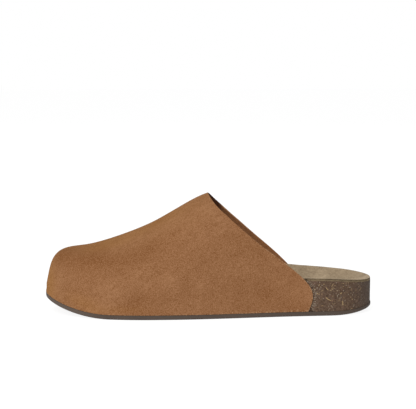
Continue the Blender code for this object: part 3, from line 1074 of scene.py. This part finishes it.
def makeInsole():
    stations, rimRound = insoleShape["stations"], insoleShape["rimRound"]
    rimBevel, topRings = insoleShape["rimBevel"], insoleShape["topRings"]

    def wanderInset(x):
        seed = Vector((x / insoleShape["edgePitch"], 1.7, 0.0))
        return rimInset(x) + insoleShape["edgeWander"] * (1 + noise.noise(seed))

    edge = outlineLoop(wanderInset, stations)
    lip = outlineLoop(lambda x: wanderInset(x) + rimRound, stations)
    bevelLoop = outlineLoop(lambda x: wanderInset(x) + rimBevel, stations)

    def level(lower):
        return lambda side, x, along, share: footbedHeight(side, x, share) - lower

    rings = [ringAt(lip, share, level(0.0)) for share in np.linspace(0.0, 1.0, topRings)]
    rings.append(ringAt(bevelLoop, 1.0, level(rimBevel)))
    slots = [0] * (len(rings) - 1)
    edgeRows = insoleShape["edgeRows"]
    for r in range(edgeRows + 1):
        lower = rimRound + (last["insoleThickness"] - rimRound) * r / edgeRows
        rings.append(ringAt(edge, 1.0, level(lower)))
        slots.append(1)
    for share in insoleShape["underShares"]:
        rings.append(ringAt(edge, share, level(last["insoleThickness"])))
        slots.append(1)
    seamShadows = [0.0] * len(rings)
    seamShadows[topRings : topRings + len(insoleShape["seamShadow"])] = insoleShape["seamShadow"]
    maps = {"napAndLightShade": [], "rimShade": []}
    for ring, paintedShadow in zip(rings, seamShadows):
        brushedAndLit = [strokeShade(insoleStrokes, x, y) for x, y, z in ring]
        maps["napAndLightShade"].append([(shade, shade, shade) for shade in brushedAndLit])
        # painted shadow: a line under the rim and a spot in the corner by the upper's edge
        shadowed = []
        for x, y, z in ring:
            uneven = 1 + noise.noise(Vector((x, y, z)) / insoleShape["shadowPitch"])
            corner = math.exp(-(((x - insoleShape["cornerX"]) / insoleShape["cornerReach"]) ** 2))
            shadowed.append(max(paintedShadow * insoleShape["shadowMean"] * uneven, corner))
        maps["rimShade"].append([(shade, shade, shade) for shade in shadowed])
    piece = meshFromRings("insole_cover", rings, True, slots=slots, maps=maps)
    piece.data.set_sharp_from_angle(angle=math.radians(insoleShape["sharpAngle"]))
    finishes = [makeSuede("beigeSuede", insoleLook), makeSuede("insoleCutEdge", insoleEdgeLook)]
    dress(piece, "insole", finishes)


makeInsole()


# outsole: thin foamed rubber with a wavy tread inside a plain border
outsoleShape = {
    "stations": 300,
    "treadRings": 40,
    "topShares": (0.98, 0.75, 0.5, 0.25, 0.0),
    "sharpAngle": 55.0,
    "edgeRound": 1.2,
    "roundSteps": 4,
    "sideRows": 4,
    "border": (0.88, 0.84),  # shares of the half width where the tread ends and is full
    "pitch": 6.5,
    "waveLength": 22.0,
    "waveReach": 2.6,
    "treadDepth": 0.9,
}

outsoleLook = {
    "dark": (0.0445, 0.0305, 0.0230, 1.0),
    "light": (0.0940, 0.0680, 0.0525, 1.0),
    "mottle": {"Cloud Size": 0.018, "Pebble Size": 0.0009},
    "cloud": 0.25,
    "pebble": 0.35,
    "toeLightAlong": (-0.085, -0.125),  # painted light: the rolled toe is paler where it faces the light
    "toeLight": 0.60,
    "grainRange": (-0.6, 0.6),
    "roughness": (0.62, 0.85),
    "bump": 0.30,
    "bumpDepth": 0.0003,
    "shader": {"Metallic": 0.0, "Specular IOR Level": 0.30},
}


def treadLift(x, y, share):
    wave = x + outsoleShape["waveReach"] * math.sin(2 * math.pi * y / outsoleShape["waveLength"])
    groove = (0.5 + 0.5 * math.cos(2 * math.pi * wave / outsoleShape["pitch"])) ** 2
    return outsoleShape["treadDepth"] * groove * ease(share, *outsoleShape["border"])


def makeOutsoleFinish():
    look = outsoleLook
    material, tree, shader = newMaterial("foamRubber", look)
    mottle = placeGroup(tree, mottleGroup, look["mottle"])
    shade = calc(tree, "MULTIPLY_ADD", mottle.outputs["Cloud"], look["cloud"], 0.5)
    shade = calc(tree, "MULTIPLY_ADD", mottle.outputs["Pebble"], look["pebble"], shade)
    # painted light on the rolled toe
    rubbedAndLit = remap(tree, placeAlong(tree), *look["toeLightAlong"], 0.0, look["toeLight"])
    shade = calc(tree, "ADD", shade, rubbedAndLit)
    colour = blendColour(tree, shade, look["dark"], look["light"])
    rough = remap(tree, mottle.outputs["Pebble"], *look["grainRange"], *look["roughness"])
    joinSurface(tree, shader, look, colour, rough, mottle.outputs["Height"])
    return material


def makeOutsole():
    stations, edgeRound = outsoleShape["stations"], outsoleShape["edgeRound"]
    tread = outlineLoop(lambda x: edgeRound, stations)
    edge = outlineLoop(lambda x: 0.0, stations)
    rings = []
    for share in np.linspace(0.0, 1.0, outsoleShape["treadRings"]):
        flat = ringAt(tread, share, lambda side, x, along, part: soleUnder(along))
        rings.append([(x, y, z + treadLift(x, y, share)) for x, y, z in flat])
    for step in range(1, outsoleShape["roundSteps"] + 1):
        turn = math.pi / 2 * step / outsoleShape["roundSteps"]
        loop = outlineLoop(lambda x: edgeRound * (1 - math.sin(turn)), stations)
        lift = edgeRound * (1 - math.cos(turn))
        rings.append(ringAt(loop, 1.0, lambda side, x, along, part: soleUnder(along) + lift))
    for r in range(1, outsoleShape["sideRows"] + 1):
        up = r / outsoleShape["sideRows"]

        def sideHeight(side, x, along, part):
            low = soleUnder(along) + edgeRound
            return low + (soleTop(along) - low) * up

        rings.append(ringAt(edge, 1.0, sideHeight))
    for share in outsoleShape["topShares"]:
        rings.append(ringAt(edge, share, lambda side, x, along, part: soleTop(along)))
    piece = meshFromRings("outsole_tread", rings, True)
    piece.data.set_sharp_from_angle(angle=math.radians(outsoleShape["sharpAngle"]))
    dress(piece, "outsole", [makeOutsoleFinish()])


makeOutsole()


# plain pale floor, soft light all round and a larger soft light from the toe's side
Lamp = namedtuple("Lamp", "name place size watts")
studio = {
    "floorSize": 8.0,
    "floorDrop": 0.00002,  # just clear of the sole
    "floorLook": {
        "shader": {
            "Base Color": (0.13, 0.13, 0.13, 1.0),
            "Roughness": 0.9,
            "Emission Color": (1.0, 1.0, 1.0, 1.0),
            "Emission Strength": 0.90,
        }
    },
    "roomLight": 0.45,
    "lamps": [
        Lamp("key", (-0.8, -1.5, 1.4), 1.2, 33.0),
        Lamp("overhead", (-0.3, 0.1, 1.7), 1.4, 2.5),
        Lamp("fill", (0.3, 1.5, 1.2), 1.4, 6.5),
    ],
}

# camera worked out from the outline: low, a little to the toe's side
view = {
    "imageWidth": 416,
    "mmPerPixel": 0.8575,
    "distance": 1500.0,
    "elevation": 6.5,
    "yaw": 2.5,
    "target": (-0.4, 0.0, 91.15),
    "sensor": 36.0,
}


def makeStudio():
    scene = bpy.context.scene
    scene.view_settings.view_transform = "Standard"
    scene.view_settings.look = "None"
    world = bpy.data.worlds.new("softRoom")
    world.use_nodes = True
    scene.world = world
    tree = world.node_tree
    background = tree.nodes["Background"]
    background.inputs["Color"].default_value = (1.0, 1.0, 1.0, 1.0)
    seen = addNode(tree, "ShaderNodeLightPath").outputs["Is Camera Ray"]
    strength = remap(tree, seen, 0.0, 1.0, studio["roomLight"], 1.0)  # the backdrop itself is white
    tree.links.new(strength, background.inputs["Strength"])
    half = studio["floorSize"] / 2
    corners = [(-half, -half, 0), (half, -half, 0), (half, half, 0), (-half, half, 0)]
    data = bpy.data.meshes.new("floor")
    data.from_pydata(corners, [], [(0, 1, 2, 3)])
    floor = bpy.data.objects.new("floor", data)
    floor.location.z = -studio["floorDrop"]
    scene.collection.objects.link(floor)
    data.materials.append(newMaterial("paleFloor", studio["floorLook"])[0])
    for lamp in studio["lamps"]:
        light = bpy.data.lights.new(lamp.name, "AREA")
        light.size = lamp.size
        light.energy = lamp.watts
        lightObject = bpy.data.objects.new(lamp.name, light)
        lightObject.location = lamp.place
        lightObject.rotation_euler = (-Vector(lamp.place)).to_track_quat("-Z", "Y").to_euler()
        scene.collection.objects.link(lightObject)
    print("studio made")


def makeCamera():
    elevation, yaw = math.radians(view["elevation"]), math.radians(view["yaw"])
    level = math.cos(elevation)
    back = Vector((-math.sin(yaw) * level, -math.cos(yaw) * level, math.sin(elevation)))
    camera = bpy.data.cameras.new("camera")
    camera.sensor_width = view["sensor"]
    camera.lens = view["sensor"] * view["distance"] / (view["imageWidth"] * view["mmPerPixel"])
    cameraObject = bpy.data.objects.new("camera", camera)
    cameraObject.location = (Vector(view["target"]) + back * view["distance"]) * mm
    cameraObject.rotation_euler = (-back).to_track_quat("-Z", "Y").to_euler()
    bpy.context.scene.collection.objects.link(cameraObject)
    bpy.context.scene.camera = cameraObject
    print("camera made")


makeStudio()
makeCamera()
